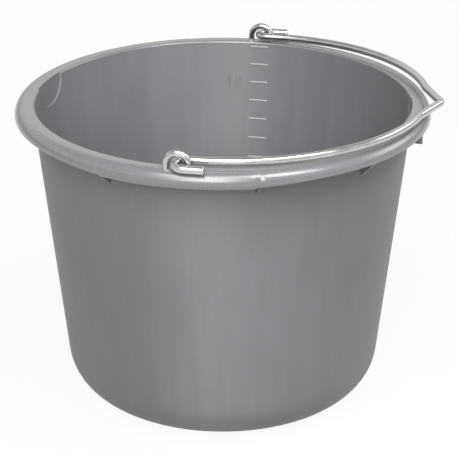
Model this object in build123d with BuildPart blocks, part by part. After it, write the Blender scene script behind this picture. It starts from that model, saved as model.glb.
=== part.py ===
from build123d import *
from math import asin, cos, degrees, radians, sin, sqrt, tan
import os

# Builder's bucket: a moulded plastic body, two wire eyes in its rim and a wire bail hooked through them.
# Millimetres. The origin is the centre of the underside, with +Z up.
# The bail swings about Y and lies towards +X.

# Shell
rim_height = 240.0
mouth_radius = 145.5
wall_draft = 6.4
wall = 2.2
floor_thickness = 2.6
base_round = 37.5

# Rim: a flat top, then a roll down and in to the lip
rim_thickness = 2.2
rim_flat = 7.5
rim_roll = 8.0
mouth_round = 2.0

# The lip hangs lowest near each eye, and is cut back along an arc that runs out level at the sides
eye_lip_drop = 11.8
side_lip_drop = 8.75
lip_rise_azimuth = 70.5
lip_level_azimuth = 45.0

# Gussets between the wall and the rim: two beside each eye, and two on the +X side
gusset_thickness = 2.5
gusset_drop = 24.0
eye_gusset_azimuth = 67.9
side_gusset_azimuth = 33.0

# Square lugs that stand below the lip on the +X side
lug_azimuth = 7.5
lug_drop = 17.0

# Pouring recesses in the inside of the wall and the mouth, at +X and -X, a little towards +Y
recess_width = 44.5
recess_drop = 20.5
recess_depth = 1.0
recess_offset = 12.9

# Litre marks and numerals, raised on the inside of the wall at +Y; the pitch is that of the top two
mark_azimuth = 90.0
mark_count = 10
mark_top_gap = 4.1
mark_pitch = 14.85
mark_width = 15.0
mark_height = 1.2
relief = 0.45
numeral_marks = {"10": 2, "5": 7}
numeral_gap = 7.6
numeral_height = 9.5
numeral_width = 5.4
numeral_stroke = 1.3
numeral_spacing = 6.9

# Wire eyes: staples through the rim, at +Y and -Y, with their ends turned out under it
eye_wire = 5.0
eye_gap = 11.5
eye_height = 14.4
eye_inset = 6.5
eye_foot = 6.0
eye_bend = 3.5
leg_clearance = 0.05
foot_clearance = 0.2
pad_thickness = 4.5
pad_margin = 4.0

# Bail: a bow with a nose in its middle and a hairpin hook round each eye
bail_wire = 6.0
bail_ride = 0.1
bail_tilt = 0.7
bail_straight = 7.3
hook_reach = 1.8
hairpin_gap_inside = 0.75
hairpin_gap_outside = 1.75
stub_length = 16.3
stub_clearance = 1.2
nose_height = 10.4
nose_half_width = 33.0
nose_offset = 8.0
nose_tip_round = 6.0
nose_base_round = 15.0

# Worked out from the sizes above
slope = tan(radians(wall_draft))
wall_across = wall / cos(radians(wall_draft))
rim_radius = mouth_radius + rim_flat + rim_roll
roll_centre = (mouth_radius + rim_flat, rim_height - rim_roll)
roll_middle = rim_roll - rim_thickness / 2
rim_under = degrees(asin((eye_lip_drop - rim_roll) / rim_roll))
lip_rise = eye_lip_drop - side_lip_drop
rise_reach = rim_radius * cos(radians(lip_rise_azimuth))
level_reach = rim_radius * cos(radians(lip_level_azimuth))
rise_radius = ((level_reach - rise_reach) ** 2 + lip_rise**2) / (2 * lip_rise)
eye_radius = mouth_radius + eye_inset
leg_offset = (eye_gap + eye_wire) / 2
eye_arch_height = rim_height + eye_height - eye_wire / 2 - leg_offset
pad_underside = rim_height - pad_thickness
foot_height = pad_underside - foot_clearance - eye_bend
bail_height = rim_height + (eye_height - eye_wire) / 2 + bail_ride
bail_radius = eye_radius - eye_wire / 2 - bail_wire / 2 - hairpin_gap_inside
hairpin_width = eye_wire + bail_wire + hairpin_gap_inside + hairpin_gap_outside
hairpin_radius = hairpin_width / 2
hook_bend = hairpin_radius - hook_reach
stub_radius = bail_radius + hairpin_width
stub_reach = rim_roll + bail_wire / 2 + stub_clearance
stub_overhang = stub_radius - mouth_radius - rim_flat
stub_rest_height = rim_height - rim_roll + sqrt(stub_reach**2 - stub_overhang**2)
front_stub_drop = bail_height - stub_rest_height


def inner_radius(height):
    """Radius of the inside of the wall at a height."""
    return mouth_radius - (rim_height - height) * slope


def outer_radius(height):
    """Radius of the outside of the wall at a height."""
    return inner_radius(height) + wall_across


def wall_middle(height):
    """A radius inside the thickness of the wall, where added pieces take root."""
    return inner_radius(height) + wall_across / 2


def lip_turn(azimuth):
    """Turn of the roll at the lip at an azimuth, in degrees down from level."""
    reach = min(max(rim_radius * abs(cos(radians(azimuth))), rise_reach), level_reach)
    drop = side_lip_drop + rise_radius - sqrt(rise_radius**2 - (level_reach - reach) ** 2)
    return min(degrees(asin((drop - rim_roll) / roll_middle)), rim_under)


def radial_plane(azimuth):
    """The upright plane through the axis: local x is the radius and local y the height."""
    turn = radians(azimuth)
    return Plane(origin=(0, 0, 0), x_dir=(cos(turn), sin(turn), 0), z_dir=(sin(turn), -cos(turn), 0))


def inward_plane(azimuth, height):
    """The upright plane through the axis that faces someone who looks outwards from the axis."""
    turn = radians(azimuth)
    return Plane(origin=(0, 0, height), x_dir=(sin(turn), -cos(turn), 0), z_dir=(-cos(turn), -sin(turn), 0))


def mark_level(index):
    """Height of a litre mark, counted down from the top one: each step holds as much as the first."""
    top, second = (inner_radius(rim_height - mark_top_gap - step * mark_pitch) for step in range(2))
    radius = (top**3 - index * (top**3 - second**3)) ** (1 / 3)
    return rim_height - (mouth_radius - radius) / slope


def draw_digit(digit):
    """The strokes of one numeral, centred in the current sketch."""
    half_width = (numeral_width - numeral_stroke) / 2
    half_height = (numeral_height - numeral_stroke) / 2
    half_stroke = numeral_stroke / 2
    if digit == "0":
        Ellipse(half_width + half_stroke, half_height + half_stroke)
        Ellipse(half_width - half_stroke, half_height - half_stroke, mode=Mode.SUBTRACT)
    elif digit == "1":
        with BuildLine() as strokes:
            Polyline((-half_width, half_height / 2), (0, half_height), (0, -half_height))
        trace(strokes.line, line_width=numeral_stroke)
    else:
        with BuildLine() as strokes:
            Polyline((half_width, half_height), (-half_width, half_height), (-half_width, 0))
            ThreePointArc((-half_width, 0), (half_width, -half_height / 3), (-half_width, -half_height))
        trace(strokes.line, line_width=numeral_stroke)


# Pouring recess: a half ellipse that hangs from the mouth, as deep as a thin band of the wall
recess_top = rim_height + recess_drop
with BuildPart() as pour_recess:
    with BuildSketch(Plane.YZ) as recess_outline:
        with Locations((recess_offset, rim_height)):
            Ellipse(recess_width / 2, recess_drop)
    extrude(amount=rim_radius, both=True)
    with BuildSketch(Plane.XZ) as recess_band:
        with BuildLine():
            Polyline(
                (inner_radius(0) - recess_depth, 0),
                (inner_radius(0) + recess_depth, 0),
                (inner_radius(recess_top) + recess_depth, recess_top),
                (inner_radius(recess_top) - recess_depth, recess_top),
                close=True,
            )
        make_face()
    revolve(axis=Axis.Z, mode=Mode.INTERSECT)

# What is cut off the lip at the sides, in a ring that keeps clear of the wall
with BuildPart() as lip_trim:
    with BuildSketch(Plane.XZ) as lip_outline:
        with BuildLine():
            lip_line = TangentArc(
                (level_reach, rim_height - side_lip_drop),
                (rise_reach, rim_height - eye_lip_drop),
                tangent=(-1, 0),
            )
            Polyline(
                lip_line @ 1,
                (2 * rim_radius, rim_height - eye_lip_drop),
                (2 * rim_radius, rim_height - side_lip_drop),
                lip_line @ 0,
            )
        make_face()
        mirror(about=Plane.YZ)
    extrude(amount=rim_radius, both=True)
    with BuildSketch(Plane.XZ) as lip_band:
        with Locations((mouth_radius + rim_flat, rim_height)):
            Rectangle(rim_radius, 2 * eye_lip_drop, align=(Align.MIN, Align.CENTER))
    revolve(axis=Axis.Z, mode=Mode.INTERSECT)

# Numerals: strokes that stand out of the wall as far as the marks do
with BuildPart() as numerals:
    for text, mark in numeral_marks.items():
        for place, digit in enumerate(reversed(text)):
            along = mark_width / 2 + numeral_gap + numeral_width / 2 + place * numeral_spacing
            digit_azimuth = mark_azimuth + degrees(along / inner_radius(mark_level(mark)))
            with BuildSketch(inward_plane(digit_azimuth, mark_level(mark))) as digit_face:
                draw_digit(digit)
            extrude(amount=-rim_radius)
    with BuildSketch(Plane.XZ) as numeral_band:
        with BuildLine():
            Polyline(
                (inner_radius(0) - relief, 0),
                (wall_middle(0), 0),
                (wall_middle(rim_height), rim_height),
                (inner_radius(rim_height) - relief, rim_height),
                close=True,
            )
        make_face()
    revolve(axis=Axis.Z, mode=Mode.INTERSECT)

# Bucket body: one moulding
with BuildPart() as bucket_body:
    # The tapered shell and its rounded floor
    with BuildSketch(Plane.XZ) as outside:
        with BuildLine():
            Polyline(
                (0, 0),
                (outer_radius(0), 0),
                (outer_radius(rim_height), rim_height),
                (0, rim_height),
                close=True,
            )
        make_face()
        fillet(outside.vertices().group_by(Axis.Y)[0].sort_by(Axis.X)[-1], base_round)
    revolve(axis=Axis.Z)
    with BuildSketch(Plane.XZ) as inside:
        with BuildLine():
            Polyline(
                (0, floor_thickness),
                (inner_radius(floor_thickness), floor_thickness),
                (inner_radius(rim_height), rim_height),
                (0, rim_height),
                close=True,
            )
        make_face()
        fillet(inside.vertices().group_by(Axis.Y)[0].sort_by(Axis.X)[-1], base_round - wall)
    revolve(axis=Axis.Z, mode=Mode.SUBTRACT)

    # The rim: flat top, roll and lip, which is cut back at the sides
    with BuildSketch(Plane.XZ) as rim_section:
        with BuildLine():
            outer = CenterArc(roll_centre, rim_roll, -rim_under, 90 + rim_under)
            inner = CenterArc(roll_centre, rim_roll - rim_thickness, -rim_under, 90 + rim_under)
            Line(outer @ 0, inner @ 0)
            Polyline(
                outer @ 1,
                (wall_middle(rim_height), rim_height),
                (wall_middle(rim_height), rim_height - rim_thickness),
                inner @ 1,
            )
        make_face()
    revolve(axis=Axis.Z)
    top_edges = bucket_body.edges().filter_by(GeomType.CIRCLE).group_by(Axis.Z)[-1]
    fillet(top_edges.group_by(SortBy.RADIUS)[0], mouth_round)
    add(lip_trim.part, mode=Mode.SUBTRACT)

    # Gussets, each a thin plate that fills the corner between the wall and the roll
    gussets = [side_gusset_azimuth, eye_gusset_azimuth, 180 - eye_gusset_azimuth]
    for azimuth in gussets + [-azimuth for azimuth in gussets]:
        with BuildSketch(radial_plane(azimuth)) as gusset:
            with BuildLine():
                roll_side = CenterArc(roll_centre, roll_middle, -lip_turn(azimuth), 90 + lip_turn(azimuth))
                Polyline(
                    roll_side @ 1,
                    (wall_middle(rim_height), rim_height - rim_thickness / 2),
                    (wall_middle(rim_height - gusset_drop), rim_height - gusset_drop),
                    roll_side @ 0,
                )
            make_face()
        extrude(amount=gusset_thickness / 2, both=True)

    # Lugs, plates with a level lower edge
    for azimuth in (lug_azimuth, -lug_azimuth):
        with BuildSketch(radial_plane(azimuth)) as lug:
            with BuildLine():
                roll_side = CenterArc(roll_centre, roll_middle, -lip_turn(azimuth), 90 + lip_turn(azimuth))
                Polyline(
                    roll_side @ 1,
                    (wall_middle(rim_height), rim_height - rim_thickness / 2),
                    (wall_middle(rim_height - lug_drop), rim_height - lug_drop),
                    ((roll_side @ 0).X, rim_height - lug_drop),
                    roll_side @ 0,
                )
            make_face()
        extrude(amount=gusset_thickness / 2, both=True)

    # Thicker rim under each eye, with a hole for each leg
    pad_half_angle = degrees((leg_offset + eye_wire / 2 + pad_margin) / eye_radius)
    for eye_azimuth in (90, -90):
        with BuildSketch(radial_plane(eye_azimuth - pad_half_angle)) as pad:
            with Locations(roll_centre):
                Circle(roll_middle)
            with Locations((mouth_radius + rim_flat, rim_height - rim_thickness / 2)):
                Rectangle(rim_flat - wall_across / 2, rim_roll, align=(Align.MAX, Align.MAX))
            with Locations((wall_middle(pad_underside), pad_underside)):
                Rectangle(rim_radius, pad_thickness, align=(Align.MIN, Align.MIN), mode=Mode.INTERSECT)
        revolve(axis=Axis.Z, revolution_arc=2 * pad_half_angle)
    leg_places = [(x, y, rim_height) for x in (-leg_offset, leg_offset) for y in (-eye_radius, eye_radius)]
    with Locations(*leg_places):
        Hole(eye_wire / 2 + leg_clearance, depth=pad_thickness + foot_clearance)

    # Pouring recesses, litre marks and numerals
    add(pour_recess.part, mode=Mode.SUBTRACT)
    for index in range(mark_count):
        level = mark_level(index)
        half_angle = degrees(mark_width / 2 / inner_radius(level))
        low = level - mark_height / 2
        high = level + mark_height / 2
        with BuildSketch(radial_plane(mark_azimuth - half_angle)) as mark_section:
            with BuildLine():
                Polyline(
                    (inner_radius(low) - relief, low),
                    (wall_middle(low), low),
                    (wall_middle(high), high),
                    (inner_radius(high) - relief, high),
                    close=True,
                )
            make_face()
        revolve(axis=Axis.Z, revolution_arc=2 * half_angle)
    add(numerals.part)

os.makedirs("parts", exist_ok=True)
bucket_body.part.label = "bucket_body"
export_step(bucket_body.part, "parts/bucket_body.step")

# Wire eyes: foot, leg, arch, leg and foot in one bent wire
for eye_name, side in (("rim_eye_front", -1), ("rim_eye_rear", 1)):
    eye_plane = Plane(origin=(0, side * eye_radius, 0), x_dir=(1, 0, 0), z_dir=(0, -1, 0))
    foot_start = leg_offset + eye_bend
    with BuildPart() as rim_eye:
        with BuildLine(eye_plane) as eye_line:
            Line((-foot_start - eye_foot, foot_height), (-foot_start, foot_height))
            CenterArc((-foot_start, foot_height + eye_bend), eye_bend, -90, 90)
            Line((-leg_offset, foot_height + eye_bend), (-leg_offset, eye_arch_height))
            CenterArc((0, eye_arch_height), leg_offset, 180, -180)
            Line((leg_offset, eye_arch_height), (leg_offset, foot_height + eye_bend))
            CenterArc((foot_start, foot_height + eye_bend), eye_bend, 180, 90)
            Line((foot_start, foot_height), (foot_start + eye_foot, foot_height))
        eye_path = eye_line.wire()
        with BuildSketch(Plane(origin=eye_path @ 0, z_dir=eye_path % 0)) as eye_section:
            Circle(eye_wire / 2)
        sweep(path=eye_path)
    rim_eye.part.label = eye_name
    export_step(rim_eye.part, f"parts/{eye_name}.step")

# Bail: one wire, drawn from the rear stub round to the front one
tilt = radians(bail_tilt)
bail_lie = (cos(tilt), 0, sin(tilt))
bail_plane = Plane(origin=(0, 0, bail_height), x_dir=bail_lie, z_dir=(-sin(tilt), 0, cos(tilt)))
bow_centre = hook_bend + bail_straight
nose_rear = nose_offset + nose_half_width
nose_front = nose_offset - nose_half_width
nose_rear_angle = degrees(asin(nose_rear / bail_radius))
nose_front_angle = degrees(asin(nose_front / bail_radius))
nose_tip = (bow_centre + bail_radius + nose_height, nose_offset)
roll_down = asin(front_stub_drop / hairpin_width)


def on_bow(y):
    """The point of the bow at this distance from the middle of the bail."""
    return (bow_centre + sqrt(bail_radius**2 - y**2), y)


def on_front_hairpin(x, across):
    """A point of the front hairpin, which is rolled down until its stub lies on the rim."""
    return (x, -bail_radius - across * cos(roll_down), -across * sin(roll_down))


with BuildPart() as bail_handle:
    with BuildLine(bail_plane) as bow_line:
        CenterArc((bow_centre, 0), bail_radius, 90, nose_rear_angle - 90)
        Line(on_bow(nose_rear), nose_tip)
        Line(nose_tip, on_bow(nose_front))
        CenterArc((bow_centre, 0), bail_radius, nose_front_angle, -90 - nose_front_angle)
        fillet(bow_line.vertices().sort_by(Axis.X)[-1], nose_tip_round)
        for nose_base in (nose_rear, nose_front):
            corner = bail_plane.from_local_coords(on_bow(nose_base))
            fillet(bow_line.vertices().sort_by_distance(corner)[0], nose_base_round)
    with BuildLine(bail_plane) as bail_line:
        stub_end = hook_bend + stub_length
        rear_middle = bail_radius + hairpin_radius
        Line((stub_end, bail_radius + hairpin_width), (hook_bend, bail_radius + hairpin_width))
        CenterArc((hook_bend, rear_middle), hairpin_radius, 90, 180)
        Line((hook_bend, bail_radius), (bow_centre, bail_radius))
        add(bow_line.line)
        Line((bow_centre, -bail_radius), (hook_bend, -bail_radius))
        ThreePointArc(
            on_front_hairpin(hook_bend, 0),
            on_front_hairpin(-hook_reach, hairpin_radius),
            on_front_hairpin(hook_bend, hairpin_width),
        )
        Line(on_front_hairpin(hook_bend, hairpin_width), on_front_hairpin(stub_end, hairpin_width))
    bail_path = bail_line.wire()
    with BuildSketch(Plane(origin=bail_path @ 0, z_dir=bail_path % 0)) as bail_section:
        Circle(bail_wire / 2)
    sweep(path=bail_path)
bail_handle.part.label = "bail_handle"
export_step(bail_handle.part, "parts/bail_handle.step")
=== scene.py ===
from math import acos, asin, atan2, cos, degrees, pi, radians, sin, sqrt, tan

import bpy
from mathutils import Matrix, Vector


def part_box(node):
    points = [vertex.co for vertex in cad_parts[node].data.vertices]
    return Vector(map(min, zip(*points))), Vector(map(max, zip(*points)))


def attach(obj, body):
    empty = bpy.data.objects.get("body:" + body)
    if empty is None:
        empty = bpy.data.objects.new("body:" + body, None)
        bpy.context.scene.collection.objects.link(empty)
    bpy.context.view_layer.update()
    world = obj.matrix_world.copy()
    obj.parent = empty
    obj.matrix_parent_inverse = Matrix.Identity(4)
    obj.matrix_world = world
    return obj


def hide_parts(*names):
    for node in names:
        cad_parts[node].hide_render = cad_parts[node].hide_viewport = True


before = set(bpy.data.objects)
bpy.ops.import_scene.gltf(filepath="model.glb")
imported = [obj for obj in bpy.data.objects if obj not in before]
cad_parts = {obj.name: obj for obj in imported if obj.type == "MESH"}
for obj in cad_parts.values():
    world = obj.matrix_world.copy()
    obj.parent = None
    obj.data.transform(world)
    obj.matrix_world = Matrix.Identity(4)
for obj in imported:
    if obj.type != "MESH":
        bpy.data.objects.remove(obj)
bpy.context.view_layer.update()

# Sizes of the bucket, in metres and in the frame of the solids; azimuths are in degrees
MM = 0.001

# Shell
RIM_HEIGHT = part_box("bucket_body")[1].z
MOUTH_RADIUS = 145.5 * MM
DRAFT = radians(6.4)
WALL = 2.2 * MM
FLOOR = 2.6 * MM
BASE_ROUND = 37.5 * MM

# Rim: a flat top, then a roll down and in to the lip, which rises from near each eye to the sides
RIM_THICKNESS = 2.2 * MM
RIM_FLAT = 7.5 * MM
RIM_ROLL = 8.0 * MM
MOUTH_ROUND = 2.0 * MM
RIM_CORNER = 1.2 * MM
LIP_RISE_AZIMUTH, LIP_LEVEL_AZIMUTH = 70.5, 45.0
EYE_LIP_DROP, SIDE_LIP_DROP = 11.8 * MM, 8.75 * MM
LIP_EDGE = 0.4 * MM
ROLL_CENTRE = (MOUTH_RADIUS + RIM_FLAT, RIM_HEIGHT - RIM_ROLL)

# Shallow seams across the roll, at both ends of a sector round each eye
SEAM_AZIMUTH = 68.2
SEAM_HALF_ANGLE = 1.5
SEAM_DEPTH = 0.8 * MM

# Steps of the shell's mesh, round its arcs, up its walls and from section to section
CORNER_STEPS, UNDER_STEPS, LIP_STEPS, ROLL_STEPS, MOUTH_STEPS = 3, 9, 4, 22, 10
FLOOR_STEPS, BASE_STEPS, WALL_STEPS, RECESS_STEPS = 5, 14, 9, 60
EYE_SECTIONS, SEAM_SECTIONS, FRONT_SECTIONS, RECESS_SECTIONS, REAR_SECTIONS = 12, 12, 30, 110, 26

# Gussets and lugs under the rim
PLATE_THICKNESS = 2.5 * MM
PLATE_BEVEL = 0.35 * MM
PLATE_STEPS, PLATE_BEVEL_STEPS = 10, 2
GUSSET_DROP = 24.0 * MM
EYE_GUSSET_AZIMUTH = 67.9
SIDE_GUSSET_AZIMUTH = 33.0
LUG_AZIMUTH = 7.5
LUG_DROP = 17.0 * MM

# Pouring recesses, which hang from the mouth
RECESS_WIDTH = 44.5 * MM
RECESS_DROP = 20.5 * MM
RECESS_DEPTH = 1.0 * MM
RECESS_OFFSET = 12.9 * MM
RECESS_RAMP = 0.6 * MM
RECESS_MARGIN_ANGLE = 1.0
SMALLEST_DIVISOR = 1e-6

# Litre marks and numerals; the pitch is that of the top two marks
MARK_AZIMUTH = 90.0
MARK_COUNT = 10
MARK_TOP_GAP = 4.1 * MM
MARK_PITCH = 14.85 * MM
MARK_WIDTH = 15.0 * MM
MARK_HEIGHT = 1.2 * MM
RELIEF = 0.45 * MM
STROKE_ROOT = 0.6 * MM
STROKE_SHOULDER, STROKE_TOP = 0.3, 0.7
MARK_STEPS = 8
DIGIT_STEPS = 32
NUMERAL_MARKS = {"10": 2, "5": 7}
NUMERAL_GAP = 7.6 * MM
NUMERAL_HEIGHT = 9.5 * MM
NUMERAL_WIDTH = 5.4 * MM
NUMERAL_STROKE = 1.3 * MM
NUMERAL_SPACING = 6.9 * MM

# Wire eyes
EYE_WIRE = 5.0 * MM
EYE_GAP = 11.5 * MM
EYE_HEIGHT = 14.4 * MM
EYE_OUT = 6.5 * MM
EYE_RADIUS = MOUTH_RADIUS + EYE_OUT
EYE_FOOT = 6.0 * MM
EYE_BEND = 3.5 * MM
FOOT_CLEARANCE = 0.2 * MM
PAD_THICKNESS = 4.5 * MM
PAD_MARGIN = 4.0 * MM
PAD_ARC_STEPS, PAD_SECTIONS = 8, 12
LEG_OFFSET = (EYE_GAP + EYE_WIRE) / 2
EYE_BEND_STEPS, EYE_LEG_STEPS, EYE_ARCH_STEPS = 8, 4, 14

# Bail
BAIL_WIRE = 6.0 * MM
BAIL_LIFT = 0.1 * MM
BAIL_HEIGHT = RIM_HEIGHT + (EYE_HEIGHT - EYE_WIRE) / 2 + BAIL_LIFT
BAIL_TILT = radians(0.7)
BAIL_STRAIGHT = 7.3 * MM
HOOK_REACH = 1.8 * MM
GAP_INSIDE, GAP_OUTSIDE = 0.75 * MM, 1.75 * MM
BAIL_RADIUS = EYE_RADIUS - (EYE_WIRE + BAIL_WIRE) / 2 - GAP_INSIDE
HAIRPIN_WIDTH = EYE_WIRE + BAIL_WIRE + GAP_INSIDE + GAP_OUTSIDE
HOOK_BEND = HAIRPIN_WIDTH / 2 - HOOK_REACH
BOW_CENTRE = HOOK_BEND + BAIL_STRAIGHT
STUB_LENGTH = 16.3 * MM
STUB_CLEARANCE = 1.2 * MM
NOSE_HEIGHT = 10.4 * MM
NOSE_HALF_WIDTH = 33.0 * MM
NOSE_OFFSET = 8.0 * MM
NOSE_TIP_ROUND = 6.0 * MM
NOSE_BASE_ROUND = 15.0 * MM
STUB_STEPS, HOOK_STEPS, BOW_STEPS, NOSE_BASE_STEPS, NOSE_TIP_STEPS = 4, 20, 40, 6, 10

# Wire of the eyes and the bail
WIRE_SIDES = 24
WIRE_CHAMFER = 0.45 * MM
WIRE_CREASE = radians(35)

# Plastic: cells a metre of its patterns, how deep they stand, and the finish of the wall and the rim
CLOUD_SCALE, CLOUD_DEPTH, CLOUD_SHARE = 9.0, 0.9 * MM, 0.55
STREAK_SCALE, STREAK_DEPTH, STREAK_SHARE = 95.0, 0.05 * MM, 0.45
STREAK_STRETCH = (1, 1, 0.03)
FLECK_SCALE, FLECK_DEPTH = 650.0, 0.008 * MM
WALL_ROUGH, RIM_ROUGH = (0.48, 0.58), (0.255, 0.275)
WALL_DRAWN, DRAWN_TURN = 0.80, 0.25
RIM_RUBBED, RIM_SHINE, RIM_SHINE_ROUGH = 0.85, 0.7, 0.3
PLASTIC_IOR, SHINE_IOR = 1.5, 1.6

# The rubbed rim sets in between two drops below its top and two reaches out from the mouth, and near the top
RUB_DROP, RUB_REACH, RUB_TOP = (16 * MM, 12 * MM), (2 * MM, 4 * MM), (2.5 * MM, 1.5 * MM)

# Zinc: cells a metre of its patterns, how deep they stand, and its finish
LINE_SCALE, LINE_DEPTH = 1800.0, 0.03 * MM
LINE_STRETCH = (1, 1, 0.012)
MOTTLE_SCALE, MOTTLE_DEPTH = 160.0, 0.06 * MM
MOTTLE_STRETCH, MOTTLE_RANGE = (1, 1, 0.5), (0.35, 0.7)
SPOT_SCALE, SPOT_SHARE = 700.0, 0.45
SPOT_RANGE = (0.62, 0.74)
ZINC_ROUGH = (0.15, 0.29)
ZINC_DULL, ZINC_BRIGHT = (0.53, 0.535, 0.54, 1), (0.66, 0.66, 0.665, 1)
ZINC_SPOT = (0.42, 0.42, 0.43, 1)

# Roughness of every noise, and the middle range of one noise and of two added up
NOISE_ROUGH = 0.55
NOISE_RANGE, TWO_NOISES = (0.35, 0.65), (0.7, 1.3)

# Camera, from the lines of the photograph
CAMERA_TURN = 12.35
CAMERA_PITCH = 23.21
CAMERA_BACK = 1464.6 * MM
CAMERA_HEIGHT = 758.0 * MM
CAMERA_LENS = 157.2
CAMERA_SHIFT = 0.0135

# Studio: the floor, what gloss shows of the surround, and the place that the lights point at
FLOOR_HALF = 6.0
FLOOR_GAP = 0.3 * MM
FLOOR_GREY, FLOOR_WHITE = (0.4, 0.4, 0.4, 1), (1, 1, 1, 1)
FLOOR_GLOW = 0.94
HORIZON_BAND, CEILING_BAND = (6, 16), (29, 42)
LIGHT_AIM = Vector((0, 0, 0.2))
LIGHT_REACH = 2.0


def mix(first, last, share):
    """The value this share of the way from first to last."""
    return first + (last - first) * share


def smooth(share):
    """A share from 0 to 1, eased at both ends and held outside them."""
    share = min(max(share, 0.0), 1.0)
    return share * share * (3 - 2 * share)


def spread(first, last, steps):
    """Even values from first to last, with both ends."""
    return [mix(first, last, step / steps) for step in range(steps + 1)]


def arc(centre, radius, first, last, steps):
    """Points of an arc between two angles in degrees, with both ends."""
    turns = [radians(angle) for angle in spread(first, last, steps)]
    return [(centre[0] + radius * cos(turn), centre[1] + radius * sin(turn)) for turn in turns]


def polar(radius, azimuth, height):
    """The point at a radius, an azimuth in degrees and a height."""
    turn = radians(azimuth)
    return Vector((radius * cos(turn), radius * sin(turn), height))


def inner_radius(height):
    """Radius of the inside of the wall at a height."""
    return MOUTH_RADIUS - (RIM_HEIGHT - height) * tan(DRAFT)


def outer_radius(height):
    """Radius of the outside of the wall at a height."""
    return inner_radius(height) + WALL / cos(DRAFT)


def wall_middle(height):
    """A radius inside the thickness of the wall, where added forms take root."""
    return inner_radius(height) + WALL / 2


def new_piece(name, points, faces, material, body, nodes, smooth_faces=True):
    """A closed mesh that rides on a body and stands for the nodes."""
    mesh = bpy.data.meshes.new(name)
    mesh.from_pydata(points, [], faces)
    mesh.validate()
    if smooth_faces:
        mesh.shade_smooth()
    else:
        mesh.shade_flat()
    mesh.materials.append(material)
    piece = bpy.data.objects.new(name, mesh)
    bpy.context.scene.collection.objects.link(piece)
    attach(piece, body)
    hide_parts(*nodes)
    return piece


# Materials

def new_tree(name):
    """A material with an empty node tree."""
    material = bpy.data.materials.new(name)
    material.use_nodes = True
    material.node_tree.nodes.clear()
    return material, material.node_tree


def node(tree, kind, sockets=None, **settings):
    """Adds a shader node with its settings, and sets or links its sockets."""
    made = tree.nodes.new("ShaderNode" + kind)
    for name, value in settings.items():
        setattr(made, name, value)
    for name, value in (sockets or {}).items():
        if isinstance(value, bpy.types.NodeSocket):
            tree.links.new(value, made.inputs[name])
        else:
            made.inputs[name].default_value = value
    return made


def noise(tree, place, scale, stretch=(1, 1, 1), detail=3.0):
    """Noise at so many cells a metre, finer or coarser along each axis."""
    moved = node(tree, "Mapping", {"Vector": place, "Scale": stretch})
    sockets = {"Vector": moved.outputs["Vector"], "Scale": scale, "Detail": detail, "Roughness": NOISE_ROUGH}
    return node(tree, "TexNoise", sockets).outputs["Fac"]


def remap(tree, value, from_low, from_high, to_low, to_high):
    """A value moved from one range to another and held inside it."""
    sockets = {"Value": value, "From Min": from_low, "From Max": from_high}
    sockets.update({"To Min": to_low, "To Max": to_high})
    return node(tree, "MapRange", sockets).outputs["Result"]


def maths(tree, operation, first, second):
    """One step of arithmetic on two values."""
    return node(tree, "Math", {0: first, 1: second}, operation=operation).outputs["Value"]


def blend(tree, share, first, last):
    """A mix of two colours."""
    return node(tree, "Mix", {"Factor": share, 6: first, 7: last}, data_type="RGBA").outputs[2]


def bump(tree, height, depth, below=None):
    """A bump of this depth in metres, laid on the bump below it."""
    sockets = {"Height": height, "Strength": 1.0, "Distance": depth}
    if below is not None:
        sockets["Normal"] = below
    return node(tree, "Bump", sockets).outputs["Normal"]


def close(tree, shader):
    """Joins the shader to the material's output."""
    tree.links.new(shader.outputs[0], node(tree, "OutputMaterial").inputs["Surface"])


def rim_mask(tree, place):
    """1 on the rim, which is rubbed smooth, and 0 on the walls, which keep the turned face of the mould."""
    parts = node(tree, "SeparateXYZ", {"Vector": place}).outputs
    across = node(tree, "VectorMath", {0: place, 1: (1, 1, 0)}, operation="MULTIPLY").outputs["Vector"]
    radius = node(tree, "VectorMath", {0: across}, operation="LENGTH").outputs["Value"]
    high = remap(tree, parts["Z"], *(RIM_HEIGHT - drop for drop in RUB_DROP), 0.0, 1.0)
    wide = remap(tree, radius, *(MOUTH_RADIUS + reach for reach in RUB_REACH), 0.0, 1.0)
    top = remap(tree, parts["Z"], *(RIM_HEIGHT - drop for drop in RUB_TOP), 0.0, 1.0)
    return maths(tree, "MAXIMUM", maths(tree, "MULTIPLY", high, wide), top)


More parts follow.
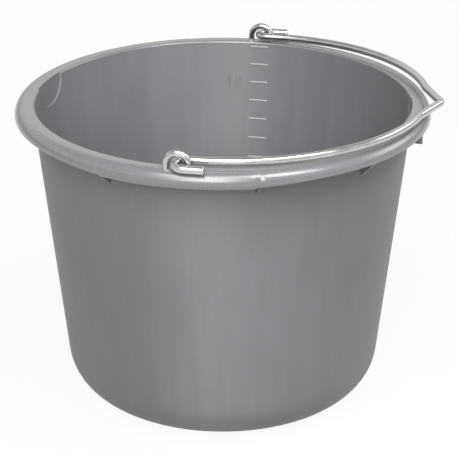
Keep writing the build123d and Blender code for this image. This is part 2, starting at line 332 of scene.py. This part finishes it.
def plastic(name, dark, light, rubbed):
    """Grey moulded polyethylene: flow streaks, a satin wall with drawn-out gloss, and a shiny rubbed rim."""
    material, tree = new_tree(name)
    place = node(tree, "TexCoord").outputs["Object"]
    cloud = noise(tree, place, CLOUD_SCALE, detail=2.0)
    streak = noise(tree, place, STREAK_SCALE, stretch=STREAK_STRETCH)
    fleck = noise(tree, place, FLECK_SCALE, detail=2.0)
    rim = rim_mask(tree, place)
    clouds = maths(tree, "MULTIPLY", cloud, CLOUD_SHARE)
    tone = maths(tree, "ADD", clouds, maths(tree, "MULTIPLY", streak, STREAK_SHARE))
    colour = blend(tree, remap(tree, tone, *NOISE_RANGE, 0.0, 1.0), dark, light)
    colour = blend(tree, remap(tree, rim, 0.0, 1.0, 0.0, RIM_RUBBED), colour, rubbed)
    wall_rough = remap(tree, maths(tree, "ADD", fleck, streak), *TWO_NOISES, *WALL_ROUGH)
    rim_rough = remap(tree, fleck, *NOISE_RANGE, *RIM_ROUGH)
    rough = remap(tree, rim, 0.0, 1.0, wall_rough, rim_rough)
    drawn = remap(tree, rim, 0.0, 1.0, WALL_DRAWN, 0.0)
    shine = remap(tree, rim, 0.0, 1.0, 0.0, RIM_SHINE)
    round_axis = node(tree, "Tangent", direction_type="RADIAL", axis="Z").outputs["Tangent"]
    normal = bump(tree, cloud, CLOUD_DEPTH)
    normal = bump(tree, streak, STREAK_DEPTH, normal)
    normal = bump(tree, fleck, FLECK_DEPTH, normal)
    sockets = {"Base Color": colour, "Roughness": rough, "Normal": normal}
    sockets.update({"IOR": PLASTIC_IOR, "Specular IOR Level": 1.0})
    sockets.update({"Anisotropic": drawn, "Anisotropic Rotation": DRAWN_TURN, "Tangent": round_axis})
    sockets.update({"Coat Weight": shine, "Coat Roughness": RIM_SHINE_ROUGH, "Coat IOR": SHINE_IOR})
    close(tree, node(tree, "BsdfPrincipled", sockets))
    return material


def zinc(name):
    """Bright zinc on drawn steel wire: lines along the wire, a mottled plating and dull spots."""
    material, tree = new_tree(name)
    place = node(tree, "Attribute", attribute_name="wire").outputs["Vector"]
    line = noise(tree, place, LINE_SCALE, stretch=LINE_STRETCH, detail=2.0)
    mottle = noise(tree, place, MOTTLE_SCALE, stretch=MOTTLE_STRETCH)
    spot = noise(tree, place, SPOT_SCALE, detail=2.0)
    colour = blend(tree, remap(tree, mottle, *MOTTLE_RANGE, 0.0, 1.0), ZINC_DULL, ZINC_BRIGHT)
    colour = blend(tree, remap(tree, spot, *SPOT_RANGE, 0.0, SPOT_SHARE), colour, ZINC_SPOT)
    rough = remap(tree, maths(tree, "ADD", line, mottle), *TWO_NOISES, *ZINC_ROUGH)
    normal = bump(tree, mottle, MOTTLE_DEPTH)
    normal = bump(tree, line, LINE_DEPTH, normal)
    sockets = {"Base Color": colour, "Metallic": 1.0, "Roughness": rough, "Normal": normal}
    close(tree, node(tree, "BsdfPrincipled", sockets))
    return material


def grey(level, blue):
    """A grey with a little more blue."""
    return (level, level, blue, 1)


body_plastic = plastic("grey_polyethylene", grey(0.214, 0.229), grey(0.261, 0.279), grey(0.235, 0.25))
# The litre marks are the wall's plastic painted about two and a half times as light: a painted highlight for
# the light their raised strokes catch.
mark_painted_highlight_plastic = plastic("polyethylene_painted_highlight", grey(0.52, 0.53), grey(0.64, 0.65), grey(0.64, 0.65))
wire_zinc = zinc("zinc_wire")


# Body

def lip_rise(azimuth):
    """Height of the lip over the centre of the roll, which is below it."""
    rise, level, reach = (cos(radians(turn)) for turn in (LIP_RISE_AZIMUTH, LIP_LEVEL_AZIMUTH, azimuth))
    share = min(max((level - abs(reach)) / (level - rise), 0.0), 1.0)
    return RIM_ROLL - mix(SIDE_LIP_DROP, EYE_LIP_DROP, share * share)


def seam(azimuth):
    """1 in the middle of a seam of the rim and 0 beside it."""
    away = abs((azimuth + 90) % 180 - 90)
    return smooth(1 - abs(away - SEAM_AZIMUTH) / SEAM_HALF_ANGLE)


def on_roll(radius, rise):
    """A point at a distance from the roll's centre and a height over it, and its turn in degrees."""
    turn = asin(rise / radius)
    return (ROLL_CENTRE[0] + radius * cos(turn), ROLL_CENTRE[1] + rise), degrees(turn)


def rim_points(azimuth):
    """Section of the rim from the wall's outside round the lip to the mouth's round."""
    low = RIM_HEIGHT - RIM_THICKNESS
    corner = (outer_radius(low - RIM_CORNER) + RIM_CORNER, low - RIM_CORNER)
    rise = lip_rise(azimuth) + LIP_EDGE
    inner_edge, inner_turn = on_roll(RIM_ROLL - RIM_THICKNESS + LIP_EDGE, rise)
    outer_edge, outer_turn = on_roll(RIM_ROLL - LIP_EDGE, rise)
    points = arc(corner, RIM_CORNER, 180, 90, CORNER_STEPS)
    points += arc(ROLL_CENTRE, RIM_ROLL - RIM_THICKNESS, 90, inner_turn, UNDER_STEPS)
    points += arc(inner_edge, LIP_EDGE, inner_turn + 180, 270, LIP_STEPS)[1:]
    outside = arc(outer_edge, LIP_EDGE, -90, outer_turn, LIP_STEPS)[:-1]
    outside += arc(ROLL_CENTRE, RIM_ROLL, outer_turn, 90, ROLL_STEPS)
    dip = SEAM_DEPTH * seam(azimuth)
    points += [(r - dip * smooth((r - ROLL_CENTRE[0]) / (RIM_ROLL / 2)), z) for r, z in outside]
    mouth = (inner_radius(RIM_HEIGHT - MOUTH_ROUND) + MOUTH_ROUND / cos(DRAFT), RIM_HEIGHT - MOUTH_ROUND)
    return points + arc(mouth, MOUTH_ROUND, 90, 180 - degrees(DRAFT), MOUTH_STEPS)


def base_points(radius_at, low, round_radius, first, last):
    """The round between the floor and the wall, on one side of the shell."""
    high = low + round_radius
    return arc((radius_at(high) - round_radius / cos(DRAFT), high), round_radius, first, last, BASE_STEPS)


def recess_share(azimuth, radius, height):
    """1 inside a pouring recess and 0 outside it, with a narrow ramp between."""
    across = (radius * sin(radians(azimuth)) - RECESS_OFFSET) / (RECESS_WIDTH / 2)
    down = (RIM_HEIGHT - height) / RECESS_DROP
    reach = max(sqrt(across * across + down * down), SMALLEST_DIVISOR)
    steep = sqrt((across / (RECESS_WIDTH / 2)) ** 2 + (down / RECESS_DROP) ** 2) / reach
    return smooth(0.5 - (reach - 1) / max(steep, SMALLEST_DIVISOR) / RECESS_RAMP)


def recessed(azimuth, radius, height):
    """A point of the mouth or the inside of the wall, pushed out to the floor of the recess."""
    share = recess_share(azimuth, radius, height)
    return max(radius, inner_radius(height) + RECESS_DEPTH * share), height


def floor_radii(edge):
    """Radii of the floor's rows of points, from near its middle to its edge."""
    return spread(edge / (FLOOR_STEPS + 1), edge, FLOOR_STEPS)


def shell_section(azimuth):
    """Closed section of the shell at one azimuth, from the middle of the underside to that of the floor."""
    tilt = degrees(DRAFT)
    under = base_points(outer_radius, 0.0, BASE_ROUND, -90, -tilt)
    inside = base_points(inner_radius, FLOOR, BASE_ROUND - WALL, -tilt, -90)
    points = [(radius, 0.0) for radius in floor_radii(under[0][0])][:-1] + under
    rim = rim_points(azimuth)
    rim[-MOUTH_STEPS:] = [recessed(azimuth, radius, height) for radius, height in rim[-MOUTH_STEPS:]]
    rising = spread(under[-1][1], rim[0][1], WALL_STEPS)[1:-1]
    points += [(outer_radius(height), height) for height in rising] + rim
    recess_low = RIM_HEIGHT - RECESS_DROP - RECESS_RAMP
    for height in spread(rim[-1][1], recess_low, RECESS_STEPS)[1:]:
        points.append(recessed(azimuth, inner_radius(height), height))
    falling = spread(recess_low, inside[0][1], WALL_STEPS)[1:-1]
    points += [(inner_radius(height), height) for height in falling]
    return points + inside + [(radius, FLOOR) for radius in reversed(floor_radii(inside[-1][0]))][1:]


def shell_azimuths():
    """Azimuths of the shell's sections, closer at the recesses and where the rim changes its form."""
    half_width = RECESS_WIDTH / 2 + RECESS_RAMP
    low = degrees(asin((RECESS_OFFSET - half_width) / MOUTH_RADIUS)) - RECESS_MARGIN_ANGLE
    high = degrees(asin((RECESS_OFFSET + half_width) / MOUTH_RADIUS)) + RECESS_MARGIN_ANGLE
    seam_low, seam_high = SEAM_AZIMUTH - SEAM_HALF_ANGLE, SEAM_AZIMUTH + SEAM_HALF_ANGLE
    right = spread(-90, -seam_high, EYE_SECTIONS)
    right += spread(-seam_high, -seam_low, SEAM_SECTIONS)[1:]
    right += spread(-seam_low, low, FRONT_SECTIONS)[1:]
    right += spread(low, high, RECESS_SECTIONS)[1:]
    right += spread(high, seam_low, REAR_SECTIONS)[1:]
    right += spread(seam_low, seam_high, SEAM_SECTIONS)[1:]
    right += spread(seam_high, 90, EYE_SECTIONS)[1:]
    return right + [180 - azimuth for azimuth in reversed(right)][1:-1]


def make_shell():
    """The wall, floor and rim as one closed skin."""
    azimuths = shell_azimuths()
    sections = [shell_section(azimuth) for azimuth in azimuths]
    rows, columns = len(sections[0]), len(sections)
    points = [polar(r, azimuth, z) for azimuth, section in zip(azimuths, sections) for r, z in section]
    faces = []
    for column in range(columns):
        this, after = column * rows, (column + 1) % columns * rows
        faces += [(this + row, after + row, after + row + 1, this + row + 1) for row in range(rows - 1)]
    below, above = len(points), len(points) + 1
    points += [Vector((0, 0, 0)), Vector((0, 0, FLOOR))]
    for column in range(columns):
        this, after = column * rows, (column + 1) % columns * rows
        faces.append((below, after, this))
        faces.append((above, this + rows - 1, after + rows - 1))
    return new_piece("bucket_shell", points, faces, body_plastic, "bucket", ["bucket_body"])


def make_plate(name, azimuth, outline):
    """A thin upright plate with eased edges, drawn as radius and height."""
    turn = radians(azimuth)
    side = Vector((-sin(turn), cos(turn), 0)) * PLATE_THICKNESS / 2
    near = [polar(r, azimuth, z) - side for r, z in outline]
    far = [point + 2 * side for point in near]
    count = len(outline)
    faces = [tuple(range(count)), tuple(reversed(range(count, 2 * count)))]
    faces += [(i, i + count, (i + 1) % count + count, (i + 1) % count) for i in range(count)]
    plate = new_piece(name, near + far, faces, body_plastic, "bucket", ["bucket_body"], smooth_faces=False)
    ease = plate.modifiers.new("eased_edges", "BEVEL")
    ease.width = PLATE_BEVEL
    ease.segments = PLATE_BEVEL_STEPS
    ease.limit_method = "ANGLE"
    return plate


def roll_side(azimuth):
    """The middle of the rim's thickness, from the flat round to the lip."""
    middle = RIM_ROLL - RIM_THICKNESS / 2
    return arc(ROLL_CENTRE, middle, 90, on_roll(middle, lip_rise(azimuth) + LIP_EDGE)[1], PLATE_STEPS)


def make_gussets():
    """Plates that fill the corner between the wall and the roll, and square lugs below the bail's nose."""
    top = (wall_middle(RIM_HEIGHT), RIM_HEIGHT - RIM_THICKNESS / 2)
    foot = (wall_middle(RIM_HEIGHT - GUSSET_DROP), RIM_HEIGHT - GUSSET_DROP)
    places = [SIDE_GUSSET_AZIMUTH, EYE_GUSSET_AZIMUTH, 180 - EYE_GUSSET_AZIMUTH]
    for side, hand in ((1, "rear"), (-1, "front")):
        for index, azimuth in enumerate(places):
            make_plate(f"gusset_{hand}_{index + 1}", side * azimuth, [top, foot] + roll_side(azimuth)[::-1])
        level = RIM_HEIGHT - LUG_DROP
        rim = roll_side(LUG_AZIMUTH)
        lug = [top, (wall_middle(level), level), (rim[-1][0], level)] + rim[::-1]
        make_plate(f"lug_{hand}", side * LUG_AZIMUTH, lug)


def make_pads():
    """Thicker rim under each eye."""
    low = RIM_HEIGHT - PAD_THICKNESS
    edge = RIM_ROLL - RIM_THICKNESS / 2
    first = on_roll(edge, low - ROLL_CENTRE[1])[1]
    outline = [(wall_middle(low), low)] + arc(ROLL_CENTRE, edge, first, 90, PAD_ARC_STEPS)
    outline.append((wall_middle(RIM_HEIGHT), RIM_HEIGHT - RIM_THICKNESS / 2))
    half = degrees((LEG_OFFSET + EYE_WIRE / 2 + PAD_MARGIN) / EYE_RADIUS)
    count, steps = len(outline), PAD_SECTIONS
    for name, middle in (("eye_pad_front", -90), ("eye_pad_rear", 90)):
        turns = spread(middle - half, middle + half, steps)
        points = [polar(r, azimuth, z) for azimuth in turns for r, z in outline]
        faces = [tuple(reversed(range(count))), tuple(range(steps * count, (steps + 1) * count))]
        for step in range(steps):
            for i in range(count):
                j, this, after = (i + 1) % count, step * count, (step + 1) * count
                faces.append((this + i, this + j, after + j, after + i))
        new_piece(name, points, faces, body_plastic, "bucket", ["bucket_body"], smooth_faces=False)


def on_wall(along, height, out):
    """A point off the inside of the wall at the litre marks: along is to the viewer's left."""
    radius = inner_radius(height)
    return polar(radius - out, MARK_AZIMUTH + degrees(along / radius), height)


def stroke(path, width, closed=False):
    """Points and faces of a raised stroke on the wall, with sloped sides."""
    half, top, shoulder = width / 2, STROKE_TOP * width / 2, STROKE_SHOULDER * RELIEF
    section = [(-half, -STROKE_ROOT), (-half, shoulder), (-top, RELIEF), (top, RELIEF)]
    section += [(half, shoulder), (half, -STROKE_ROOT)]
    points, faces, size = [], [], len(section)
    for index, (along, height) in enumerate(path):
        before = path[index - 1] if index or closed else path[index]
        after = path[(index + 1) % len(path)] if index + 1 < len(path) or closed else path[index]
        way = Vector((after[0] - before[0], after[1] - before[1])).normalized()
        points += [on_wall(along - way.y * side, height + way.x * side, out) for side, out in section]
    for index in range(len(path) if closed else len(path) - 1):
        this, after = index * size, (index + 1) % len(path) * size
        for i in range(size):
            j = (i + 1) % size
            faces.append((this + i, after + i, after + j, this + j))
    if not closed:
        last = (len(path) - 1) * size
        faces += [tuple(range(size)), tuple(reversed(range(last, last + size)))]
    return points, faces


def digit_paths(digit):
    """Strokes of a numeral about its middle, as right and up, and whether they close."""
    wide, high = (NUMERAL_WIDTH - NUMERAL_STROKE) / 2, (NUMERAL_HEIGHT - NUMERAL_STROKE) / 2
    if digit == "0":
        return [(wide * cos(turn), high * sin(turn)) for turn in spread(0, 2 * pi, DIGIT_STEPS)[:-1]], True
    if digit == "1":
        return [(-wide, high / 2), (-wide / 2, 0.75 * high), (0, high), (0, -high)], False
    turns = spread(0, pi, DIGIT_STEPS // 2)
    bowl = [(-wide + 2 * wide * sin(turn), -high / 2 + high / 2 * cos(turn)) for turn in turns]
    return [(wide, high), (0, high), (-wide, high), (-wide, high / 2)] + bowl, False


def mark_level(index):
    """Height of a litre mark, counted down from the top one: each step holds as much as the first."""
    top, second = (inner_radius(RIM_HEIGHT - MARK_TOP_GAP - step * MARK_PITCH) for step in range(2))
    radius = (top**3 - index * (top**3 - second**3)) ** (1 / 3)
    return RIM_HEIGHT - (MOUTH_RADIUS - radius) / tan(DRAFT)


def make_marks():
    """Litre marks and numerals, raised on the inside of the wall."""
    for index in range(MARK_COUNT):
        bar = [(along, mark_level(index)) for along in spread(-MARK_WIDTH / 2, MARK_WIDTH / 2, MARK_STEPS)]
        points, faces = stroke(bar, MARK_HEIGHT)
        # Each mark takes the lighter material, with its painted highlight.
        new_piece(f"litre_mark_{index + 1}", points, faces, mark_painted_highlight_plastic, "bucket", ["bucket_body"], False)
    for text, mark in NUMERAL_MARKS.items():
        for place, digit in enumerate(reversed(text)):
            middle = MARK_WIDTH / 2 + NUMERAL_GAP + NUMERAL_WIDTH / 2 + place * NUMERAL_SPACING
            path, closed = digit_paths(digit)
            path = [(middle - right, mark_level(mark) + up) for right, up in path]
            points, faces = stroke(path, NUMERAL_STROKE, closed)
            name = f"numeral_{text}_{place + 1}"
            new_piece(name, points, faces, body_plastic, "bucket", ["bucket_body"], False)


# Wires

def make_wire(name, path, width, body, node_name):
    """A round wire along a path, with chamfered ends and a record of how far along it each point is."""
    radius = width / 2
    ways = [(path[min(i + 1, len(path) - 1)] - path[max(i - 1, 0)]).normalized() for i in range(len(path))]
    rings = [(path[0], ways[0], radius - WIRE_CHAMFER)]
    rings += [(path[0] + ways[0] * WIRE_CHAMFER, ways[0], radius)]
    rings += [(point, way, radius) for point, way in zip(path[1:-1], ways[1:-1])]
    rings += [(path[-1] - ways[-1] * WIRE_CHAMFER, ways[-1], radius)]
    rings += [(path[-1], ways[-1], radius - WIRE_CHAMFER)]
    side = ways[0].orthogonal().normalized()
    points, places, faces, length, last = [], [], [], 0.0, rings[0]
    for centre, way, size in rings:
        side = last[1].rotation_difference(way) @ side
        other = way.cross(side)
        length += (centre - last[0]).length
        for turn in spread(0, 2 * pi, WIRE_SIDES)[:-1]:
            points.append(centre + (side * cos(turn) + other * sin(turn)) * size)
            places.append((radius * cos(turn), radius * sin(turn), length))
        last = (centre, way, size)
    for ring in range(len(rings) - 1):
        for i in range(WIRE_SIDES):
            j, this, after = (i + 1) % WIRE_SIDES, ring * WIRE_SIDES, (ring + 1) * WIRE_SIDES
            faces.append((this + i, this + j, after + j, after + i))
    end = (len(rings) - 1) * WIRE_SIDES
    faces += [tuple(reversed(range(WIRE_SIDES))), tuple(range(end, end + WIRE_SIDES))]
    wire = new_piece(name, points, faces, wire_zinc, body, [node_name])
    marks = wire.data.attributes.new("wire", "FLOAT_VECTOR", "POINT")
    marks.data.foreach_set("vector", [value for place in places for value in place])
    wire.data.set_sharp_from_angle(angle=WIRE_CREASE)
    return wire


def turn_about(centre, first, last, steps):
    """Points of the shorter arc about a centre between two points, without the first."""
    start = atan2(first[1] - centre[1], first[0] - centre[0])
    swing = (atan2(last[1] - centre[1], last[0] - centre[0]) - start + pi) % (2 * pi) - pi
    radius = sqrt((first[0] - centre[0]) ** 2 + (first[1] - centre[1]) ** 2)
    return arc(centre, radius, degrees(start), degrees(start + swing), steps)[1:]


def eye_path():
    """Foot, leg, arch, leg and foot of a wire eye, as across and up."""
    arch = RIM_HEIGHT + EYE_HEIGHT - EYE_WIRE / 2 - LEG_OFFSET
    foot = RIM_HEIGHT - PAD_THICKNESS - FOOT_CLEARANCE - EYE_BEND
    start = LEG_OFFSET + EYE_BEND
    half = [(start + EYE_FOOT, foot)] + arc((start, foot + EYE_BEND), EYE_BEND, 270, 180, EYE_BEND_STEPS)
    half += [(LEG_OFFSET, height) for height in spread(foot + EYE_BEND, arch, EYE_LEG_STEPS)[1:-1]]
    half += arc((0, arch), LEG_OFFSET, 0, 90, EYE_ARCH_STEPS)
    return [(-across, up) for across, up in half] + half[-2::-1]


def nose_round(base, tip):
    """The round between the bow and one flank of the nose: its centre and the points where it meets them."""
    middle = Vector((BOW_CENTRE, 0))
    way = (tip - base).normalized()
    out = Vector((abs(way.y), -way.x if way.y > 0 else way.x))
    reach = base + out * NOSE_BASE_ROUND - middle
    far = BAIL_RADIUS + NOSE_BASE_ROUND
    step = -reach.dot(way) + sqrt(reach.dot(way) ** 2 - reach.length_squared + far * far)
    centre = middle + reach + way * step
    return centre, middle + (centre - middle) * BAIL_RADIUS / far, base + way * step


def bow_path():
    """The bow with its nose, from the rear end to the front one, in the bail's own plane."""
    middle = Vector((BOW_CENTRE, 0))
    tip = Vector((middle.x + BAIL_RADIUS + NOSE_HEIGHT, NOSE_OFFSET))
    bases = []
    for y in (NOSE_OFFSET + NOSE_HALF_WIDTH, NOSE_OFFSET - NOSE_HALF_WIDTH):
        bases.append(Vector((middle.x + sqrt(BAIL_RADIUS ** 2 - y * y), y)))
    rear, front = [nose_round(base, tip) for base in bases]
    back = [(base - tip).normalized() for base in bases]
    half_angle = acos(back[0].dot(back[1])) / 2
    tip_centre = tip + (back[0] + back[1]).normalized() * NOSE_TIP_ROUND / sin(half_angle)
    touch = [tip + way * NOSE_TIP_ROUND / tan(half_angle) for way in back]
    path = [(middle.x, BAIL_RADIUS)]
    path += turn_about(middle, path[0], rear[1], BOW_STEPS)
    path += turn_about(rear[0], rear[1], rear[2], NOSE_BASE_STEPS)
    path += [tuple(touch[0])] + turn_about(tip_centre, touch[0], touch[1], NOSE_TIP_STEPS)
    path += [tuple(front[2])] + turn_about(front[0], front[2], front[1], NOSE_BASE_STEPS)
    return path + turn_about(middle, front[1], (middle.x, -BAIL_RADIUS), BOW_STEPS)


def in_bail_plane(x, y, up=0.0):
    """A point of the bail's own plane, which is tilted up a little towards +X."""
    rise = x * sin(BAIL_TILT) + up * cos(BAIL_TILT)
    return Vector((x * cos(BAIL_TILT) - up * sin(BAIL_TILT), y, BAIL_HEIGHT + rise))


def make_bail():
    """The bail: stub, hairpin, bow with its nose, hairpin and stub in one wire."""
    bend = HAIRPIN_WIDTH / 2
    overhang = BAIL_RADIUS + HAIRPIN_WIDTH - ROLL_CENTRE[0]
    reach = RIM_ROLL + BAIL_WIRE / 2 + STUB_CLEARANCE
    drop = BAIL_HEIGHT - (ROLL_CENTRE[1] + sqrt(reach * reach - overhang * overhang))
    roll = asin(drop / HAIRPIN_WIDTH)
    hook = [(HOOK_BEND + length, HAIRPIN_WIDTH) for length in spread(STUB_LENGTH, 0, STUB_STEPS)][:-1]
    hook += arc((HOOK_BEND, bend), bend, 90, 270, HOOK_STEPS)
    path = [in_bail_plane(x, BAIL_RADIUS + across) for x, across in hook]
    path += [in_bail_plane(x, y) for x, y in bow_path()]
    for x, across in reversed(hook):
        path.append(in_bail_plane(x, -BAIL_RADIUS - across * cos(roll), -across * sin(roll)))
    return make_wire("bail_wire", path, BAIL_WIRE, "bail", "bail_handle")


def make_eyes():
    """The two wire eyes."""
    for name, side in (("rim_eye_front", -1), ("rim_eye_rear", 1)):
        path = [Vector((across, side * EYE_RADIUS, up)) for across, up in eye_path()]
        make_wire(name + "_wire", path, EYE_WIRE, "bucket", name)


# Studio

def studio_place(right, back, up):
    """A point given as it lies from the camera: right, away from it and up."""
    turn = radians(CAMERA_TURN)
    return Vector((right * cos(turn) - back * sin(turn), right * sin(turn) + back * cos(turn), up))


def make_camera():
    """The photograph's camera."""
    camera = bpy.data.objects.new("camera", bpy.data.cameras.new("camera"))
    camera.data.lens = CAMERA_LENS
    camera.data.shift_x = CAMERA_SHIFT
    camera.location = studio_place(0, -CAMERA_BACK, CAMERA_HEIGHT)
    camera.rotation_euler = (radians(90 - CAMERA_PITCH), 0, radians(CAMERA_TURN))
    bpy.context.scene.collection.objects.link(camera)
    bpy.context.scene.camera = camera


def make_softbox(name, turn, rise, width, height, power, shows=True):
    """A soft light, turned to the camera's right and raised in degrees, which shows in gloss or not."""
    data = bpy.data.lights.new(name, "AREA")
    data.shape = "RECTANGLE"
    data.size, data.size_y = width, height
    data.energy = power
    light = bpy.data.objects.new(name, data)
    level, up = LIGHT_REACH * cos(radians(rise)), LIGHT_REACH * sin(radians(rise))
    light.location = LIGHT_AIM + studio_place(level * sin(radians(turn)), -level * cos(radians(turn)), up)
    light.rotation_euler = (LIGHT_AIM - light.location).to_track_quat("-Z", "Y").to_euler()
    light.visible_glossy = shows
    bpy.context.scene.collection.objects.link(light)


def seen_directly(tree):
    """1 for what the camera sees, straight or by way of a shiny or clear surface."""
    path = node(tree, "LightPath")
    seen = maths(tree, "MAXIMUM", path.outputs["Is Camera Ray"], path.outputs["Is Glossy Ray"])
    return maths(tree, "MAXIMUM", seen, path.outputs["Is Transmission Ray"])


def make_floor():
    """A wide pale floor that keeps a light shadow."""
    material, tree = new_tree("studio_floor")
    seen = seen_directly(tree)
    matt = node(tree, "BsdfDiffuse", {"Color": blend(tree, seen, FLOOR_GREY, FLOOR_WHITE)})
    white = node(tree, "Emission", {"Color": FLOOR_WHITE, "Strength": 1.0})
    share = maths(tree, "MULTIPLY", seen, FLOOR_GLOW)
    close(tree, node(tree, "MixShader", {0: share, 1: matt.outputs[0], 2: white.outputs[0]}))
    mesh = bpy.data.meshes.new("studio_floor")
    corners = [(-1, -1), (1, -1), (1, 1), (-1, 1)]
    mesh.from_pydata([(x * FLOOR_HALF, y * FLOOR_HALF, 0) for x, y in corners], [], [(0, 1, 2, 3)])
    mesh.materials.append(material)
    floor = bpy.data.objects.new("studio_floor", mesh)
    floor.location.z = -FLOOR_GAP
    bpy.context.scene.collection.objects.link(floor)


def make_world(level, horizon, sides, ceiling):
    """A studio with a grey horizon, pale sides and a dim ceiling, which adds little light of its own."""
    world = bpy.data.worlds.new("studio")
    world.use_nodes = True
    tree = world.node_tree
    tree.nodes.clear()
    up = node(tree, "SeparateXYZ", {"Vector": node(tree, "TexCoord").outputs["Generated"]}).outputs["Z"]
    low = remap(tree, up, *(sin(radians(rise)) for rise in HORIZON_BAND), horizon, sides)
    high = remap(tree, up, *(sin(radians(rise)) for rise in CEILING_BAND), 1.0, ceiling / sides)
    colour = maths(tree, "MULTIPLY", low, high)
    strength = remap(tree, seen_directly(tree), 0.0, 1.0, level, 1.0)
    sky = node(tree, "Background", {"Color": colour, "Strength": strength})
    tree.links.new(sky.outputs[0], node(tree, "OutputWorld").inputs["Surface"])
    bpy.context.scene.world = world


make_shell()
make_gussets()
make_pads()
make_marks()
make_eyes()
make_bail()

make_camera()
make_floor()
make_world(level=0.02, horizon=0.4, sides=0.9, ceiling=0.45)
make_softbox("front_softbox", -9, 30, 0.9, 1.1, 18.5)
make_softbox("left_softbox", -18, 56, 0.9, 0.7, 13.0)
make_softbox("right_softbox", 43, 57, 0.9, 0.9, 19.0)
make_softbox("side_softbox", 110, 30, 0.9, 0.7, 5.0)
make_softbox("rear_fill", 180, 12, 1.6, 0.5, 12.0, shows=False)
bpy.context.scene.view_settings.view_transform = "Standard"
